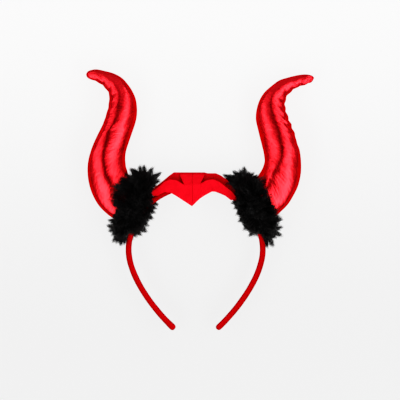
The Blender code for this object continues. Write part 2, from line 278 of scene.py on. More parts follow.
# the rows of both horns, from foot to tip, in millimetres: outer x, outer y, inner x, inner y, depth,
# and the crest's share of the way in from the outer edge
HORN_LEFT = [
    (-66.0, -30.5, -48.0, -3.5, 26.0, 0.50),
    (-79.0, -23.5, -60.0, 12.5, 27.0, 0.50),
    (-89.0, -17.5, -71.0, 24.5, 28.0, 0.50),
    (-96.5, -11.0, -73.0, 29.5, 29.3, 0.52),
    (-102.0, -4.5, -74.3, 32.5, 30.8, 0.52),
    (-107.5, 5.5, -75.0, 37.0, 32.0, 0.50),
    (-111.0, 16.5, -75.2, 40.5, 33.0, 0.47),
    (-112.4, 28.5, -75.0, 44.5, 33.0, 0.44),
    (-111.5, 39.5, -74.0, 49.5, 33.0, 0.40),
    (-108.0, 51.5, -71.2, 58.0, 32.5, 0.36),
    (-102.5, 65.0, -67.7, 68.0, 31.5, 0.33),
    (-98.0, 74.5, -65.2, 76.0, 30.5, 0.32),
    (-94.5, 83.5, -63.6, 84.5, 29.0, 0.32),
    (-92.0, 92.5, -63.5, 93.0, 27.5, 0.34),
    (-90.7, 100.5, -64.8, 101.0, 25.5, 0.37),
    (-90.7, 104.5, -67.4, 107.3, 23.5, 0.42),
    (-92.5, 108.8, -71.5, 113.8, 21.5, 0.46),
    (-95.5, 112.5, -78.0, 121.2, 19.0, 0.50),
    (-99.5, 116.0, -86.0, 125.9, 16.5, 0.52),
    (-104.5, 118.7, -95.0, 128.5, 13.5, 0.52),
    (-109.0, 120.0, -104.0, 130.3, 10.5, 0.50),
    (-111.5, 121.0, -110.5, 129.3, 8.0, 0.50),
    (-113.3, 122.7, -113.0, 127.7, 5.0, 0.50),
    (-114.0, 124.7, -114.0, 125.9, 1.5, 0.50),
]
HORN_RIGHT = [
    (57.4, -30.5, 39.4, -3.5, 26.0, 0.50),
    (67.0, -24.0, 49.0, 12.0, 27.0, 0.55),
    (77.0, -16.5, 59.0, 25.0, 28.0, 0.62),
    (83.0, -10.5, 62.6, 30.5, 29.3, 0.70),
    (88.5, -4.0, 64.0, 34.0, 30.8, 0.71),
    (94.0, 5.5, 64.9, 38.0, 32.0, 0.69),
    (98.0, 14.0, 64.8, 42.0, 33.0, 0.645),
    (100.5, 24.5, 64.4, 45.5, 33.0, 0.58),
    (101.0, 35.5, 63.6, 49.5, 33.0, 0.52),
    (99.7, 48.5, 61.8, 56.5, 32.8, 0.45),
    (96.8, 57.5, 60.0, 63.5, 32.0, 0.41),
    (95.0, 66.0, 58.5, 69.5, 31.0, 0.41),
    (91.3, 74.0, 57.2, 75.0, 30.0, 0.41),
    (88.5, 81.7, 56.3, 81.0, 28.8, 0.43),
    (86.0, 89.0, 56.7, 88.0, 27.5, 0.48),
    (85.0, 95.5, 58.3, 95.0, 26.0, 0.54),
    (86.0, 101.5, 61.0, 101.5, 24.0, 0.58),
    (88.5, 105.5, 65.5, 108.0, 22.0, 0.60),
    (92.5, 109.5, 72.0, 113.8, 19.5, 0.60),
    (97.5, 112.5, 79.5, 119.2, 17.0, 0.58),
    (102.5, 114.3, 88.0, 122.0, 14.5, 0.55),
    (107.0, 115.9, 96.5, 124.0, 12.0, 0.50),
    (111.0, 117.3, 104.5, 125.1, 9.5, 0.50),
    (113.2, 119.5, 111.0, 124.5, 6.5, 0.50),
    (114.2, 121.5, 113.9, 122.7, 1.5, 0.50),
]
HORN_AROUND = 96
HORN_STEPS = 5
HORN_MIDDLE = HOOP_MIDDLE.z
HORN_ROUND = 0.11
HORN_OFF_FLOOR = 0.0003
HORN_MOST_FILLING = 0.0004
PUCKER_SPAN = 0.0086
RUFFLE_SPAN = 0.0034
# slope and rounding of the front panel's ridge, and the arch's part of its fall: along the horn,
# and what its foot adds to them
FRONT_ALONG = (0.14, 0.07, 0.48)
FRONT_AT_FOOT = (0.30, 0.19, -0.32)


def smooth_rows(rows, steps):
    """The rows with steps - 1 more between each two, on a smooth curve through them."""
    table = np.array(rows, float)
    padded = np.vstack([table[:1], table, table[-1:]])
    made = []
    for k in range(1, len(padded) - 2):
        a, b, c, d = padded[k - 1 : k + 3]
        for t in np.arange(steps) / steps:
            curve = (2 * a - 5 * b + 4 * c - d) * t * t + (3 * b - a - 3 * c + d) * t**3
            made.append(b + 0.5 * ((c - a) * t + curve))
    return np.array(made + [table[-1]])


def front_height(share, breadth, ridge_slope, ridge_round, arch_part):
    """Height of the front panel over the seams, 1 at the crest and 0 at a seam: a soft ridge, then
    a shallow arch, then a steep fall that takes up what the arch leaves."""
    ridge = ridge_slope * (math.sqrt(share**2 + ridge_round**2) - ridge_round)
    arch = arch_part * (1 - math.sqrt(1 - share**2)) + 0.1 * share**10
    fall = 1 - math.sqrt(1 - share**14)
    ridge_end = ridge_slope * (math.sqrt(1 + ridge_round**2) - ridge_round)
    left = 1 - breadth * (ridge_end + arch_part + 0.1)
    return 1 - breadth * (ridge + arch) - left * fall


def horn_rings(rows, seed, outer_gather, inner_gather):
    """Rings of the sewn skin. A gather is where it starts, as a share of the horn, and its depth."""
    table = smooth_rows(rows, HORN_STEPS)
    rings = []
    runs = [0.0, 0.0]
    before = None
    last = len(table) - 1
    for k, (ox, oy, ix, iy, depth, crest) in enumerate(table.tolist()):
        outer = Vector((ox, oy)) * 0.001
        inner = Vector((ix, iy)) * 0.001
        middle, half = (outer + inner) / 2, (inner - outer) / 2
        if before is not None:
            runs = [runs[0] + (outer - before[0]).length, runs[1] + (inner - before[1]).length]
        before = (outer, inner)
        lean = 2 * crest - 1
        up = k / last
        fade = min(1, (last - k) / 30)
        foot = max(0, 1 - up / 0.2)
        tent = min(1, max(0, (0.42 - up) / 0.20))
        section = [along + more * tent for along, more in zip(FRONT_ALONG, FRONT_AT_FOOT)]
        ring = []
        for i in range(HORN_AROUND):
            turn = 2 * math.pi * i / HORN_AROUND
            share = -math.cos(turn)
            high = math.sin(turn)
            s = share
            if high > 0:
                beside_crest = 1 + lean if share < 0 else 1 - lean
                s = lean + share * beside_crest
                breadth = min(1.35, half.length * beside_crest / (depth * 0.0005))
                high = front_height(abs(share), breadth, *section)
            z = high * depth / 2 * 0.001
            place = middle + half * s
            bulge = 0.0
            for run, beside, start, depth_of in (
                (runs[0], (1 + s) * half.length, *outer_gather),
                (runs[1], (1 - s) * half.length, *inner_gather),
            ):
                gather = min(1, max(0, (up - start) / 0.14)) * fade * depth_of
                slant = run - beside * 0.9 + 0.0022 * noise(Vector((run * 90, seed, beside * 60)))
                ripple = 1 - 2 * abs(math.sin(math.pi * slant / PUCKER_SPAN)) ** 1.2
                strength = 0.75 + 1.1 * noise(Vector((run * 100, seed + 7, 0)))
                reach = 0.45 * math.exp(-((beside / 0.0100) ** 2)) + 0.55 * math.exp(-beside / 0.0022)
                bulge -= gather * strength * ripple * reach
            soft = noise(Vector((place.x * 45, place.y * 45, seed))) * 0.00025
            arc = turn * half.length
            uneven = 3 * noise(Vector((place.x * 90, place.y * 90, 1)))
            ruffle = math.sin(2 * math.pi * arc / RUFFLE_SPAN + uneven)
            bulge += soft * fade + 0.00012 * foot * ruffle
            flat = place + half.normalized() * share * bulge
            ring.append((flat.x, flat.y, max(HORN_MIDDLE + z + bulge * high, HORN_OFF_FLOOR)))
        rings.append(ring)
    return rings


def skin_grid(horn, rows):
    """Vertex numbers by row along the horn and by spot round it."""
    count = rows * HORN_AROUND
    numbers = {}
    for name in ("row", "spot"):
        numbers[name] = np.empty(len(horn.data.vertices), np.int32)
        horn.data.attributes[name].data.foreach_get("value", numbers[name])
    grid = np.empty((rows, HORN_AROUND), int)
    grid[numbers["row"][:count], numbers["spot"][:count]] = np.arange(count)
    return grid


def fill_out(horn, cap):
    """Blows the cloth out from inside with its seams held, and limits how far any point moves."""
    rows = (len(horn.data.vertices) - 2) // HORN_AROUND
    grid = skin_grid(horn, rows)
    held = horn.vertex_groups.new(name="seams")
    held.add(grid[:, [0, HORN_AROUND // 2]].ravel().tolist(), 1.0, "REPLACE")
    held.add(grid[:3].ravel().tolist() + grid[-3:].ravel().tolist(), 1.0, "REPLACE")
    start = np.empty(len(horn.data.vertices) * 3)
    horn.data.vertices.foreach_get("co", start)
    start = start.reshape(-1, 3)
    cloth = horn.modifiers.new("filling", "CLOTH")
    cloth.settings.quality = 6
    cloth.settings.mass = 0.15
    cloth.settings.tension_stiffness = 20
    cloth.settings.compression_stiffness = 4
    cloth.settings.shear_stiffness = 5
    cloth.settings.bending_stiffness = 0.8
    cloth.settings.shrink_min = -0.015
    cloth.settings.use_pressure = True
    cloth.settings.uniform_pressure_force = 3.0
    cloth.settings.vertex_group_mass = "seams"
    cloth.settings.effector_weights.gravity = 0.0
    cloth.collision_settings.use_collision = False
    scene = bpy.context.scene
    for step in range(1, 15):
        scene.frame_set(step)
    graph = bpy.context.evaluated_depsgraph_get()
    moved = horn.evaluated_get(graph).to_mesh()
    end = np.empty(len(moved.vertices) * 3)
    moved.vertices.foreach_get("co", end)
    horn.evaluated_get(graph).to_mesh_clear()
    horn.modifiers.clear()
    move = end.reshape(-1, 3) - start
    skin = move[grid]
    for _ in range(16):
        around = (np.roll(skin, 1, 1) + np.roll(skin, -1, 1)) / 2
        along = skin.copy()
        along[1:-1] = (skin[2:] + skin[:-2]) / 2
        skin = 0.3 * skin + 0.35 * around + 0.35 * along
    move[grid] = skin
    length = np.linalg.norm(move, axis=1, keepdims=True)
    move *= np.minimum(1, cap / np.maximum(length, 1e-9))
    end = start + move
    end[:, 2] = np.maximum(end[:, 2], HORN_OFF_FLOOR)
    horn.data.vertices.foreach_set("co", end.ravel())
    horn.data.update()
    scene.frame_set(1)


def shade_folds(horn, foot):
    """Marks painted shade: a soft dark band along the crest and two dark lines just inside the seams."""
    rows = (len(horn.data.vertices) - 2) // HORN_AROUND
    grid = skin_grid(horn, rows)
    share = -np.cos(2 * np.pi * np.arange(HORN_AROUND) / HORN_AROUND)
    front = np.arange(HORN_AROUND) < HORN_AROUND / 2
    up = np.linspace(0, 1, rows)[:, None]
    patchy = np.array([0.9 + 0.3 * noise(Vector((k * 0.12, 0, 0))) for k in range(rows)])[:, None]
    length = np.clip((0.80 - up) / 0.15, 0, 1) * np.clip((up - foot) / 0.1, 0, 1)
    # painted shade along the crest, and painted dark lines just inside the seams
    crest = 0.5 * patchy * np.exp(-((share / 0.15) ** 2)) * length
    lines = 0.35 * patchy * np.exp(-(((np.abs(share) - 0.86) / 0.06) ** 2))
    values = np.zeros(len(horn.data.vertices))
    values[grid] = np.maximum(crest, lines) * front
    attribute = horn.data.attributes.new("painted crest and seam shade", "FLOAT", "POINT")
    attribute.data.foreach_set("value", values)


def lame_finish():
    """Shiny metallic cloth with fine threads and small wrinkles, darkened by painted shade along its
    crest and seam lines.
    """
    material, nodes, links, cloth = new_finish("red metallic lame")
    cloth.inputs["Metallic"].default_value = 1.0
    cloth.inputs["Specular Tint"].default_value = (0.75, 0.01, 0.03, 1)
    place = nodes.new("ShaderNodeUVMap")
    place.uv_map = "UVMap"
    threads = nodes.new("ShaderNodeGroup")
    threads.node_tree = weave
    threads.inputs["Threads per metre"].default_value = 1800.0
    links.new(place.outputs["UV"], threads.inputs["Vector"])
    colour = nodes.new("ShaderNodeValToRGB")
    colour.color_ramp.elements[0].position = 0.3
    colour.color_ramp.elements[0].color = (0.58, 0.0125, 0.018, 1)
    colour.color_ramp.elements[1].position = 0.7
    colour.color_ramp.elements[1].color = (0.76, 0.0190, 0.026, 1)
    links.new(threads.outputs["Shade"], colour.inputs["Fac"])
    # painted shade: where marked, the cloth's colour is mixed towards a near black red
    folds = nodes.new("ShaderNodeAttribute")
    folds.attribute_name = "painted crest and seam shade"
    painted_groove_shade = nodes.new("ShaderNodeMix")
    painted_groove_shade.data_type = "RGBA"
    painted_groove_shade.inputs["B"].default_value = (0.13, 0.0, 0.001, 1)
    links.new(folds.outputs["Fac"], painted_groove_shade.inputs["Factor"])
    links.new(colour.outputs["Color"], painted_groove_shade.inputs["A"])
    links.new(painted_groove_shade.outputs["Result"], cloth.inputs["Base Color"])
    rough = nodes.new("ShaderNodeMapRange")
    rough.inputs["To Min"].default_value = 0.22
    rough.inputs["To Max"].default_value = 0.29
    links.new(threads.outputs["Shade"], rough.inputs["Value"])
    links.new(rough.outputs["Result"], cloth.inputs["Roughness"])
    normal = None
    for stretch, scale, distance in (
        ((0.30, 1.0, 1.0), 330.0, 0.0008),
        ((1.0, 1.0, 1.0), 800.0, 0.00010),
        ((0.8, 1.0, 1.0), 160.0, 0.0012),
    ):
        pull = nodes.new("ShaderNodeMapping")
        pull.inputs["Scale"].default_value = stretch
        links.new(place.outputs["UV"], pull.inputs["Vector"])
        grain = nodes.new("ShaderNodeTexNoise")
        grain.inputs["Scale"].default_value = scale
        grain.inputs["Detail"].default_value = 2.0
        links.new(pull.outputs["Vector"], grain.inputs["Vector"])
        bump = nodes.new("ShaderNodeBump")
        bump.inputs["Strength"].default_value = 0.4
        bump.inputs["Distance"].default_value = distance
        links.new(grain.outputs["Fac"], bump.inputs["Height"])
        if normal:
            links.new(normal, bump.inputs["Normal"])
        normal = bump.outputs["Normal"]
    links.new(normal, cloth.inputs["Normal"])
    return material


lame = lame_finish()
for horn_name, horn_node, horn_rows, horn_seed, horn_foot, gathers in (
    ("stuffed_horn_left", "horn_left", HORN_LEFT, 2.0, 0.08, ((0.45, 0.00038), (0.80, 0.00010))),
    ("stuffed_horn_right", "horn_right", HORN_RIGHT, 5.0, 0.27, ((0.36, 0.00085), (0.85, 0.00010))),
):
    horn = draw_out(horn_name, horn_rings(horn_rows, horn_seed, *gathers), HORN_ROUND)
    fill_out(horn, HORN_MOST_FILLING)
    shade_folds(horn, horn_foot)
    smooth = horn.modifiers.new("smooth cloth", "SUBSURF")
    smooth.levels = smooth.render_levels = 1
    horn.data.materials.append(lame)
    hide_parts(horn_node)
    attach(horn, "root")

# The fur trims: a strip of long black pile wound round the foot of each horn and the band. Fine
# hairs stand out of a dark backing in pointed tufts, longer and freer at the outside.
TRIM_MIDDLES = {"left": (-65.6, -6.5), "right": (53.6, -7.5)}
TRIM_HALF = (0.0140, 0.0300, 0.0185)
TRIM_LEAN = math.radians(23)
# x, y in millimetres and the kind of place: a free tuft's tip, the skin of the horn, or the
# peak's and the ribbon's edge, where the hair stops short
TRIM_EDGES = {
    "left": [
        (-70.5, 31.5, "tip"), (-66.5, 31.0, "tip"), (-60.5, 34.5, "tip"), (-56.0, 34.5, "tip"),
        (-47.0, 32.5, "tip"), (-38.5, 27.0, "tip"), (-39.5, 19.0, "tip"), (-43.0, 13.5, "tip"),
        (-50.5, 8.0, "edge"),
        (-51.0, 0.0, "edge"), (-41.5, -5.5, "tip"), (-43.0, -9.5, "tip"), (-44.5, -13.5, "tip"),
        (-46.5, -19.5, "tip"), (-51.0, -26.5, "tip"), (-52.5, -32.5, "tip"), (-58.0, -36.5, "tip"),
        (-63.0, -37.5, "tip"), (-67.0, -40.5, "tip"), (-70.5, -32.0, "edge"), (-75.5, -45.0, "tip"),
        (-80.0, -46.5, "tip"), (-84.0, -44.0, "tip"), (-88.0, -42.5, "tip"), (-89.5, -35.5, "tip"),
        (-92.0, -31.5, "tip"), (-93.5, -26.0, "tip"), (-92.0, -20.5, "tip"), (-85.0, -13.5, "skin"),
        (-87.0, -4.5, "skin"), (-89.0, 1.0, "skin"), (-87.0, 7.0, "skin"), (-84.0, 13.5, "skin"),
        (-79.5, 18.5, "skin"), (-74.0, 23.5, "skin"),
    ],
    "right": [
        (23.0, 24.8, "tip"), (28.0, 24.0, "tip"), (33.0, 28.8, "tip"), (40.0, 30.5, "tip"),
        (44.5, 33.5, "tip"), (49.5, 28.5, "tip"), (54.0, 27.0, "tip"), (58.0, 24.5, "tip"),
        (62.0, 19.5, "skin"), (64.0, 13.0, "skin"), (66.5, 8.0, "skin"), (70.5, 3.0, "skin"),
        (74.0, -4.5, "skin"), (77.0, -10.5, "skin"), (79.0, -15.5, "skin"), (83.0, -19.5, "tip"),
        (83.0, -28.0, "tip"), (82.5, -36.0, "tip"), (76.5, -39.0, "tip"), (74.0, -47.5, "tip"),
        (67.5, -48.5, "tip"), (60.0, -32.0, "edge"), (54.5, -36.0, "tip"), (48.5, -36.8, "tip"),
        (43.0, -30.2, "tip"), (38.0, -22.3, "tip"), (35.5, -15.0, "tip"), (33.5, -9.0, "tip"),
        (31.0, -3.8, "tip"), (40.0, 0.5, "edge"), (35.5, 4.5, "edge"), (30.5, 10.0, "tip"),
        (26.0, 16.0, "tip"), (22.5, 21.0, "tip"),
    ],
}
TUFTS = 420
HAIRS_PER_TUFT = 20
HAIRS_AT_EDGE = 90
HAIR_LENGTH = 0.0125
HAIR_WIDTH = 0.00034
HAIR_SUNK = 0.0015
HAIR_OFF_FLOOR = 0.0004
BACKING_OFF_FLOOR = 0.0006
TRIM_FORWARD = 0.0015
PRESSED_ABOVE = 0.046
PRESSED_BY = 0.45
# how many tufts share a place in the outline, and how far they stand from it
TUFTS_AT = {"tip": 1, "skin": 3, "edge": 0}
SPREAD_AT = {"tip": 0.0, "skin": 0.0017, "edge": 0.0}


def hair_blank():
    """One straight hair of unit length, drawn out of a triangle to a point: rings, then tip."""
    shape = bmesh.new()
    bmesh.ops.create_circle(shape, segments=3, radius=1.0)
    edges = shape.edges[:]
    for _ in range(2):
        made = bmesh.ops.extrude_edge_only(shape, edges=edges)["geom"]
        edges = [item for item in made if isinstance(item, bmesh.types.BMEdge)]
        verts = [item for item in made if isinstance(item, bmesh.types.BMVert)]
        bmesh.ops.translate(shape, verts=verts, vec=(0, 0, 0.4))
    caps = bmesh.ops.holes_fill(shape, edges=[e for e in shape.edges if e.is_boundary], sides=0)["faces"]
    top = max(caps, key=lambda face: face.calc_center_median().z)
    tip = bmesh.ops.poke(shape, faces=[top])["verts"][0]
    tip.co.z = 1.0
    bmesh.ops.recalc_face_normals(shape, faces=shape.faces[:])
    bmesh.ops.triangulate(shape, faces=shape.faces[:])
    shape.verts.index_update()
    points = np.array([v.co[:] for v in shape.verts])
    faces = np.array([[v.index for v in face.verts] for face in shape.faces])
    shape.free()
    return points, faces


def grow_fur(name, side, middle, edges, seed):
    """Hairs on an egg-shaped backing, gathered tuft by tuft towards a shared point."""
    dice = np.random.default_rng(seed)
    blank, blank_faces = hair_blank()
    centre = np.array([middle[0] * 0.001, middle[1] * 0.001, HOOP_MIDDLE.z + TRIM_FORWARD])
    golden = math.pi * (3 - math.sqrt(5))
    k = np.arange(TUFTS)
    level = 1 - (k + 0.5) / TUFTS * 2
    ring = np.sqrt(1 - level**2)
    on = np.stack([ring * np.cos(golden * k), level, ring * np.sin(golden * k)], 1)
    on = on[on[:, 2] > -0.62]
    half = np.array(TRIM_HALF)
    c, s = math.cos(side * TRIM_LEAN), math.sin(side * TRIM_LEAN)
    turn = np.array([[c, -s, 0], [s, c, 0], [0, 0, 1]])
    roots = on * half
    normals = on / half
    normals /= np.linalg.norm(normals, axis=1, keepdims=True)
    roots = roots @ turn.T + centre
    normals = normals @ turn.T
    ways = normals + 0.24 * dice.normal(size=roots.shape)
    ways[:, 2] = np.where(roots[:, 2] < 0.006, np.maximum(ways[:, 2], -0.05), ways[:, 2])
    ways /= np.linalg.norm(ways, axis=1, keepdims=True)
    lengths = HAIR_LENGTH * dice.uniform(0.75, 1.2, len(roots))
    bends = dice.normal(size=roots.shape) * 0.22
    tips = roots + (ways + bends) * lengths[:, None]
    hairs = np.full(len(roots), HAIRS_PER_TUFT)

    # the tufts that make the outline, each from inside the backing to its own tip; those beside a
    # horn lie on its skin
    spots = np.array([(x, y) for x, y, kind in edges]) * 0.001
    kinds = np.array([kind for x, y, kind in edges])
    long_way = turn @ np.array([0, 1, 0])
    for spot, kind in [pair for pair in zip(spots, kinds) for _ in range(TUFTS_AT[pair[1]])]:
        height = dice.uniform(0.013, 0.018) if kind == "skin" else dice.uniform(-0.004, 0.006)
        x, y = spot + dice.normal(size=2) * SPREAD_AT[kind]
        tip = np.array([x, y, centre[2] + height])
        along = np.clip((tip - centre) @ long_way * 0.82, -0.024, 0.024)
        axis = centre + long_way * along
        way = (tip - axis) / np.linalg.norm(tip - axis)
        root = tip - way * HAIR_LENGTH * dice.uniform(0.95, 1.15)
        roots = np.vstack([roots, root])
        normals = np.vstack([normals, way])
        bends = np.vstack([bends, dice.normal(size=3) * 0.05])
        lengths = np.append(lengths, HAIR_LENGTH)
        tips = np.vstack([tips, tip])
        hairs = np.append(hairs, HAIRS_AT_EDGE // TUFTS_AT[kind] + 12)

    of = np.repeat(np.arange(len(roots)), hairs)
    count = len(of)
    free = of >= len(on)
    jitter = dice.normal(size=(count, 3)) * np.where(free, 0.0027, 0.0022)[:, None]
    jitter -= normals[of] * (jitter * normals[of]).sum(1, keepdims=True)
    start = roots[of] - normals[of] * HAIR_SUNK + jitter
    end = tips[of] + dice.normal(size=(count, 3)) * np.where(free, 0.0007, 0.0011)[:, None]
    end += jitter * np.where(free, 0.15, 0.30)[:, None]
    high_up = np.where(tips[of][:, 2] > centre[2] + 0.0105, 0.0016, 0.0)
    end += dice.normal(size=(count, 3)) * high_up[:, None]
    end += (end - start) * dice.uniform(np.where(free, -0.2, -0.3), np.where(free, 0.06, 0.1))[:, None]

    # hairs that are not in the outline's tufts stop short of it
    angles = np.arctan2(spots[:, 1] - centre[1], spots[:, 0] - centre[0])
    reach = np.hypot(spots[:, 1] - centre[1], spots[:, 0] - centre[0])
    under = np.where(kinds == "edge", 1.35, 1.0)
    reach *= np.where(kinds == "tip", 0.86, np.where(kinds == "skin", 1.02, 1.0))
    order = np.argsort(angles)
    out = end[:, :2] - centre[:2]
    far = np.hypot(out[:, 0], out[:, 1])
    way_out = np.arctan2(out[:, 1], out[:, 0])
    limit = np.interp(way_out, angles[order], reach[order], period=2 * math.pi)
    lower = np.interp(way_out, angles[order], (reach * under)[order], period=2 * math.pi)
    limit = np.where(end[:, 2] < HOOP_LOW.z + 0.006, lower, limit)
    limit *= dice.uniform(0.84, 1.06, count)
    short = np.where(free, 1.0, np.minimum(1.0, limit / np.maximum(far, 1e-6)))
    end[:, :2] = centre[:2] + out * short[:, None]

    # the highest hairs are pressed down a little
    past = end[:, 2] - PRESSED_ABOVE
    end[:, 2] -= np.where(past > 0, past * PRESSED_BY, 0.0)

    knee = (start + end) / 2 + bends[of] * -0.25 * lengths[of][:, None]
    knee += normals[of] * 0.0012 + dice.normal(size=(count, 3)) * 0.0004
    t = blank[:, 2]
    parts = [(1 - t) ** 2, 2 * t * (1 - t), t**2]
    spine = sum(point[:, None] * part[None, :, None] for point, part in zip((start, knee, end), parts))
    way = end - start
    way /= np.linalg.norm(way, axis=1, keepdims=True)
    side_way = np.cross(way, dice.normal(size=(count, 3)))
    side_way /= np.linalg.norm(side_way, axis=1, keepdims=True)
    up_way = np.cross(way, side_way)
    taper = HAIR_WIDTH / 2 * (1 - 0.55 * t)
    spread = (blank[:, 0] * taper)[None, :, None] * side_way[:, None]
    spread = spread + (blank[:, 1] * taper)[None, :, None] * up_way[:, None]
    points = spine + spread
    points[:, :, 2] = np.maximum(points[:, :, 2], HAIR_OFF_FLOOR)
    shade = np.repeat(dice.uniform(0, 1, len(roots))[of], len(blank))
    faces = blank_faces[None] + (np.arange(count) * len(blank))[:, None, None]
    mesh = bpy.data.meshes.new(name)
    mesh.from_pydata(points.reshape(-1, 3), [], faces.reshape(-1, 3))
    attribute = mesh.attributes.new("tuft shade", "FLOAT", "POINT")
    attribute.data.foreach_set("value", shade)
    mesh.shade_smooth()
    piece = bpy.data.objects.new(name, mesh)
    bpy.context.scene.collection.objects.link(piece)
    return piece


def fur_backing(name, side, middle):
    """A dark uneven egg, long across the horn's foot, that the hairs stand out of."""
    shape = bmesh.new()
    bmesh.ops.create_uvsphere(shape, u_segments=48, v_segments=32, radius=1.0)
    bmesh.ops.scale(shape, verts=shape.verts[:], vec=TRIM_HALF)
    c, s = math.cos(side * TRIM_LEAN), math.sin(side * TRIM_LEAN)
    for vert in shape.verts:
        x, y, z = vert.co
        rough = 1 + 0.05 * noise(Vector((x, y, z)) * 300)
        x, y = (x * c - y * s) * rough, (x * s + y * c) * rough
        z = max(HOOP_MIDDLE.z + TRIM_FORWARD + z * rough, BACKING_OFF_FLOOR)
        vert.co = (middle[0] * 0.001 + x, middle[1] * 0.001 + y, z)
    bmesh.ops.recalc_face_normals(shape, faces=shape.faces[:])
    mesh = bpy.data.meshes.new(name)
    shape.to_mesh(mesh)
    shape.free()
    mesh.shade_smooth()
    piece = bpy.data.objects.new(name, mesh)
    bpy.context.scene.collection.objects.link(piece)
    return piece


def fur_finish():
    """Near black, a little lighter from tuft to tuft and in soft patches."""
    material, nodes, links, hair = new_finish("black pile")
    hair.inputs["Roughness"].default_value = 0.5
    hair.inputs["Specular IOR Level"].default_value = 0.25
    tuft = nodes.new("ShaderNodeAttribute")
    tuft.attribute_name = "tuft shade"
    patch = nodes.new("ShaderNodeTexNoise")
    patch.inputs["Scale"].default_value = 180.0
    place = nodes.new("ShaderNodeTexCoord")
    links.new(place.outputs["Object"], patch.inputs["Vector"])
    mix = nodes.new("ShaderNodeMath")
    mix.operation = "MULTIPLY"
    links.new(tuft.outputs["Fac"], mix.inputs[0])
    links.new(patch.outputs["Fac"], mix.inputs[1])
    colour = nodes.new("ShaderNodeValToRGB")
    colour.color_ramp.elements[0].color = (0.004, 0.004, 0.004, 1)
    colour.color_ramp.elements[1].color = (0.034, 0.032, 0.032, 1)
    links.new(mix.outputs[0], colour.inputs["Fac"])
    links.new(colour.outputs["Color"], hair.inputs["Base Color"])
    return material


pile = fur_finish()
for trim_side, trim_way in (("left", -1), ("right", 1)):
    trim_middle = TRIM_MIDDLES[trim_side]
    backing = fur_backing("fur_backing_" + trim_side, trim_way, trim_middle)
    fur = grow_fur("fur_hair_" + trim_side, trim_way, trim_middle, TRIM_EDGES[trim_side], 11 + trim_way)
    for piece in (backing, fur):
        piece.data.materials.append(pile)
        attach(piece, "root")
    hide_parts("fur_trim_" + trim_side)

# The brow peak: one piece of bright red felt, folded up along its lower edge on the front of the
# crown. Its two flaps stand forward with open pockets behind them, and between them a flat facet
# runs from the top edge to the pinch, above the centre crease and the point.
PEAK_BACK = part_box("brow_peak")[0].z
FELT_WALL = 0.0014

# the folds from left to right, in millimetres: top x, top y, low x, low y, flap x, flap y, flap forward
PEAK_FOLDS = [
    (-48.0, 10.0, -46.5, 3.5, -49.0, 7.2, 3.8),
    (-43.0, 14.0, -42.0, 3.9, -42.0, 11.9, 5.2),
    (-36.0, 19.5, -36.0, 7.3, -35.0, 17.5, 8.0),
    (-30.0, 24.5, -30.0, 6.9, -29.5, 19.7, 9.5),
    (-26.0, 27.2, -24.5, 3.9, -23.5, 18.9, 9.5),
    (-20.0, 27.2, -16.5, -1.3, -15.5, 14.5, 6.2),
    (-8.0, 27.2, -8.0, -6.8, -8.0, 14.8, 7.2),
    (4.5, 27.2, 0.0, 0.9, 0.0, 15.5, 6.2),
    (7.5, 26.3, 5.5, 4.4, 7.0, 19.1, 9.2),
    (16.0, 26.3, 12.0, 7.9, 13.0, 19.7, 10.0),
    (21.0, 24.0, 19.0, 7.3, 19.0, 17.2, 8.6),
    (27.0, 19.5, 26.0, 3.0, 26.0, 12.2, 6.6),
    (32.0, 13.5, 31.0, -0.9, 31.5, 8.0, 5.2),
    (36.0, 8.0, 34.5, 0.5, 35.5, 3.1, 3.8),
]
PEAK_MIDDLE = -0.0076
PEAK_HEM = 3.6
PEAK_LIP = 2.6
PEAK_FACET = (5, 6, 7)


def fold_peak(name):
    """The felt sheet: its back, the hem folded forward, the two flaps and the flat centre facet."""
    shape = bmesh.new()
    inside = shape.verts.layers.float.new("painted shade inside folds")
    columns = []
    for tx, ty, lx, ly, fx, fy, forward in PEAK_FOLDS:
        spots = ((tx, ty, 0), (lx, ly, 0), (lx, ly, PEAK_HEM), (fx, fy, forward))
        places = [(x * 0.001, y * 0.001, PEAK_BACK + z * 0.001) for x, y, z in spots]
        columns.append([shape.verts.new(place) for place in places])
    lips = {}
    for k in PEAK_FACET:
        x, y, z = columns[k][0].co
        lips[k] = shape.verts.new((x, y - PEAK_LIP * 0.001, z + PEAK_LIP * 0.001))
    for k in range(len(columns) - 1):
        a, b = columns[k], columns[k + 1]
        shape.faces.new((a[0], b[0], b[1], a[1]))
        shape.faces.new((a[1], b[1], b[2], a[2]))
        shape.faces.new((a[2], b[2], b[3], a[3]))
    for k in PEAK_FACET[:-1]:
        shape.faces.new((lips[k], lips[k + 1], columns[k + 1][0], columns[k][0]))
        shape.faces.new((columns[k][3], columns[k + 1][3], lips[k + 1], lips[k]))
    # painted shade: the back layer is marked to darken, most towards its low fold
    for column in columns:
        column[0][inside] = 0.45
        column[1][inside] = 1.3
    folds = set(shape.verts)
    made = bmesh.ops.subdivide_edges(shape, edges=shape.edges[:], cuts=4, use_grid_fill=True)
    fresh = {item for item in made["geom_inner"] if isinstance(item, bmesh.types.BMVert)}
    inner = []
    for vert in fresh:
        leans = {round(face.normal.z, 1) for face in vert.link_faces}
        if not vert.is_boundary and len(leans) == 1:
            inner.append(vert)
    axes = {"use_axis_x": True, "use_axis_y": True, "use_axis_z": True}
    bmesh.ops.smooth_vert(shape, verts=inner, factor=0.3, **axes)
    for vert in shape.verts:
        x, y, z = vert.co
        if z > PEAK_BACK + 0.003 and vert not in folds:
            vert.co.z += 0.0004 * noise(Vector((x, y, 0)) * 190)
    mesh = bpy.data.meshes.new(name)
    shape.to_mesh(mesh)
    shape.free()
    piece = bpy.data.objects.new(name, mesh)
    bpy.context.scene.collection.objects.link(piece)
    wall = piece.modifiers.new("felt wall", "SOLIDIFY")
    wall.thickness = FELT_WALL
    wall.offset = -1.0
    wall.use_even_offset = True
    wall.use_quality_normals = True
    edge = piece.modifiers.new("soft edges", "BEVEL")
    edge.width = 0.0003
    edge.segments = 2
    edge.limit_method = "ANGLE"
    edge.angle_limit = math.radians(35)
    edge.use_clamp_overlap = True
    return piece


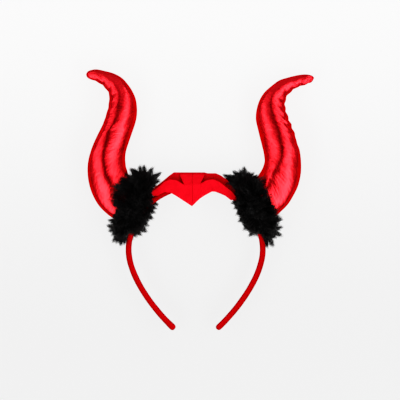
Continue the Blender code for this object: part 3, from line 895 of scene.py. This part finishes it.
def felt_finish():
    """Matted bright red fibres, with painted shade on the back layer inside the folds and a painted
    shade line down the centre crease.
    """
    material, nodes, links, felt = new_finish("bright red felt")
    felt.inputs["Roughness"].default_value = 0.95
    felt.inputs["Specular IOR Level"].default_value = 0.02
    place = nodes.new("ShaderNodeTexCoord")
    fibres = nodes.new("ShaderNodeTexNoise")
    fibres.inputs["Scale"].default_value = 1400.0
    fibres.inputs["Detail"].default_value = 6.0
    fibres.inputs["Roughness"].default_value = 0.7
    fibres.inputs["Distortion"].default_value = 1.6
    links.new(place.outputs["Object"], fibres.inputs["Vector"])
    cloud = nodes.new("ShaderNodeTexNoise")
    cloud.inputs["Scale"].default_value = 150.0
    cloud.inputs["Detail"].default_value = 3.0
    links.new(place.outputs["Object"], cloud.inputs["Vector"])
    mix = nodes.new("ShaderNodeMath")
    mix.operation = "MULTIPLY_ADD"
    mix.inputs[1].default_value = 0.6
    links.new(fibres.outputs["Fac"], mix.inputs[0])
    part = nodes.new("ShaderNodeMath")
    part.operation = "MULTIPLY"
    part.inputs[1].default_value = 0.4
    links.new(cloud.outputs["Fac"], part.inputs[0])
    links.new(part.outputs[0], mix.inputs[2])
    colour = nodes.new("ShaderNodeValToRGB")
    colour.color_ramp.elements[0].position = 0.3
    colour.color_ramp.elements[0].color = (0.535, 0.004, 0.0105, 1)
    colour.color_ramp.elements[1].position = 0.7
    colour.color_ramp.elements[1].color = (0.70, 0.006, 0.0145, 1)
    links.new(mix.outputs[0], colour.inputs["Fac"])
    axes = nodes.new("ShaderNodeSeparateXYZ")
    links.new(place.outputs["Object"], axes.inputs["Vector"])
    aside = nodes.new("ShaderNodeMath")
    aside.operation = "MULTIPLY_ADD"
    aside.inputs[1].default_value = 0.0016
    links.new(cloud.outputs["Fac"], aside.inputs[0])
    links.new(axes.outputs["X"], aside.inputs[2])
    # painted shade: a thin dark line down the centre crease
    crease = nodes.new("ShaderNodeMath")
    crease.operation = "COMPARE"
    crease.inputs[1].default_value = PEAK_MIDDLE + 0.0008
    crease.inputs[2].default_value = 0.00028
    links.new(aside.outputs[0], crease.inputs[0])
    painted_crease_shade = nodes.new("ShaderNodeMix")
    painted_crease_shade.data_type = "RGBA"
    painted_crease_shade.blend_type = "MULTIPLY"
    painted_crease_shade.inputs["B"].default_value = (0.45, 0.4, 0.4, 1)
    links.new(crease.outputs[0], painted_crease_shade.inputs["Factor"])
    links.new(colour.outputs["Color"], painted_crease_shade.inputs["A"])
    # painted shade inside the folds: marked parts are mixed towards a deep dark red
    fold = nodes.new("ShaderNodeAttribute")
    fold.attribute_name = "painted shade inside folds"
    painted_pocket_shade = nodes.new("ShaderNodeMix")
    painted_pocket_shade.data_type = "RGBA"
    painted_pocket_shade.inputs["B"].default_value = (0.16, 0.0, 0.001, 1)
    links.new(fold.outputs["Fac"], painted_pocket_shade.inputs["Factor"])
    links.new(painted_crease_shade.outputs["Result"], painted_pocket_shade.inputs["A"])
    links.new(painted_pocket_shade.outputs["Result"], felt.inputs["Base Color"])
    bump = nodes.new("ShaderNodeBump")
    bump.inputs["Strength"].default_value = 0.5
    bump.inputs["Distance"].default_value = 0.0002
    links.new(fibres.outputs["Fac"], bump.inputs["Height"])
    links.new(bump.outputs["Normal"], felt.inputs["Normal"])
    return material


peak = fold_peak("felt_peak")
peak.data.materials.append(felt_finish())
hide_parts("brow_peak")
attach(peak, "root")

# The studio: a pale floor that the headband lies on, which glows by itself as painted light, a little
# brighter towards the horns' tips, five soft lamps one behind the other on its left and as many on
# its right, whose long reflections run up the horns, a soft lamp beyond the horns' tips, and a
# long-lens camera straight above it all.
FLOOR_NEAR, FLOOR_FAR = -0.16, 0.24
CAMERA_HEIGHT = 2.22
bpy.ops.mesh.primitive_plane_add(size=30.0)
floor = bpy.context.object
floor.name = "studio_floor"
floor_finish, floor_nodes, floor_links, floor_shader = new_finish("pale floor")
floor_shader.inputs["Base Color"].default_value = (0.06, 0.06, 0.06, 1)
floor_shader.inputs["Roughness"].default_value = 0.9
floor_shader.inputs["Specular IOR Level"].default_value = 0.0
floor_shader.inputs["Emission Color"].default_value = (1.0, 1.0, 1.0, 1)
floor_place = floor_nodes.new("ShaderNodeTexCoord")
floor_axes = floor_nodes.new("ShaderNodeSeparateXYZ")
floor_links.new(floor_place.outputs["Object"], floor_axes.inputs["Vector"])
# painted light: the floor's own glow grows from the near side to the far side
painted_floor_glow = floor_nodes.new("ShaderNodeMapRange")
painted_floor_glow.interpolation_type = "SMOOTHSTEP"
painted_floor_glow.inputs["From Min"].default_value = FLOOR_NEAR
painted_floor_glow.inputs["From Max"].default_value = FLOOR_FAR
painted_floor_glow.inputs["To Min"].default_value = 0.90
painted_floor_glow.inputs["To Max"].default_value = 1.06
floor_links.new(floor_axes.outputs["Y"], painted_floor_glow.inputs["Value"])
floor_links.new(painted_floor_glow.outputs["Result"], floor_shader.inputs["Emission Strength"])
floor.data.materials.append(floor_finish)


def soft_lamp(place, turn, width, length, glow):
    """One rectangular lamp of an even glow, facing down along its own Z."""
    lamp_data = bpy.data.lights.new("soft_lamp", "AREA")
    lamp_data.shape = "RECTANGLE"
    lamp_data.size = width
    lamp_data.size_y = length
    lamp_data.energy = glow * math.pi * width * length
    lamp = bpy.data.objects.new("soft_lamp", lamp_data)
    lamp.location = place
    lamp.rotation_euler = turn
    bpy.context.scene.collection.objects.link(lamp)


# side, lowest and highest angle from the vertical in degrees, y from, y to, distance, glow
for side, low, high, near, far, reach, glow in (
    (-1, 10, 81, -1.8, 1.4, 1.60, 0.55),
    (-1, 21, 63, -1.8, 1.2, 1.55, 0.35),
    (-1, 29, 56, -1.8, 0.6, 1.50, 1.0),
    (-1, 36, 50, -1.8, 0.5, 1.45, 2.6),
    (-1, 20, 52, -1.8, -0.3, 1.40, 3.2),
    (1, 10, 81, -1.8, 1.4, 1.60, 0.55),
    (1, 21, 63, -1.8, 1.2, 1.55, 0.35),
    (1, 29, 56, -1.8, 1.2, 1.50, 1.2),
    (1, 36, 50, -1.8, 1.1, 1.45, 3.2),
    (1, 19, 52, -1.8, -0.05, 1.40, 3.2),
):
    middle = math.radians((low + high) / 2)
    across = 2 * reach * math.tan(math.radians((high - low) / 2))
    place = (side * reach * math.sin(middle), (near + far) / 2, reach * math.cos(middle))
    soft_lamp(place, (0.0, side * middle, 0.0), across, far - near, glow)
soft_lamp((0.0, 1.35, 1.1), (-0.887, 0.0, 0.0), 2.6, 2.0, 0.65)

world = bpy.data.worlds.new("studio")
world.use_nodes = True
world.node_tree.nodes["Background"].inputs["Color"].default_value = (0.9, 0.9, 0.9, 1)
world.node_tree.nodes["Background"].inputs["Strength"].default_value = 0.10
bpy.context.scene.world = world
view = bpy.context.scene.view_settings
view.view_transform = "Standard"
view.use_curve_mapping = True
contrast = view.curve_mapping.curves[3]
for shade, shown in (
    (0.008, 0.0015),
    (0.025, 0.010),
    (0.07, 0.052),
    (0.2, 0.19),
    (0.5, 0.49),
    (0.75, 0.71),
):
    contrast.points.new(shade, shown)
contrast.points[-1].location = (1.0, 0.87)
view.curve_mapping.update()

camera_data = bpy.data.cameras.new("camera")
camera_data.sensor_width = 36.0
camera_data.lens = 198.0
camera = bpy.data.objects.new("camera", camera_data)
camera.location = (0.0, -0.0005, CAMERA_HEIGHT)
bpy.context.scene.collection.objects.link(camera)
bpy.context.scene.camera = camera
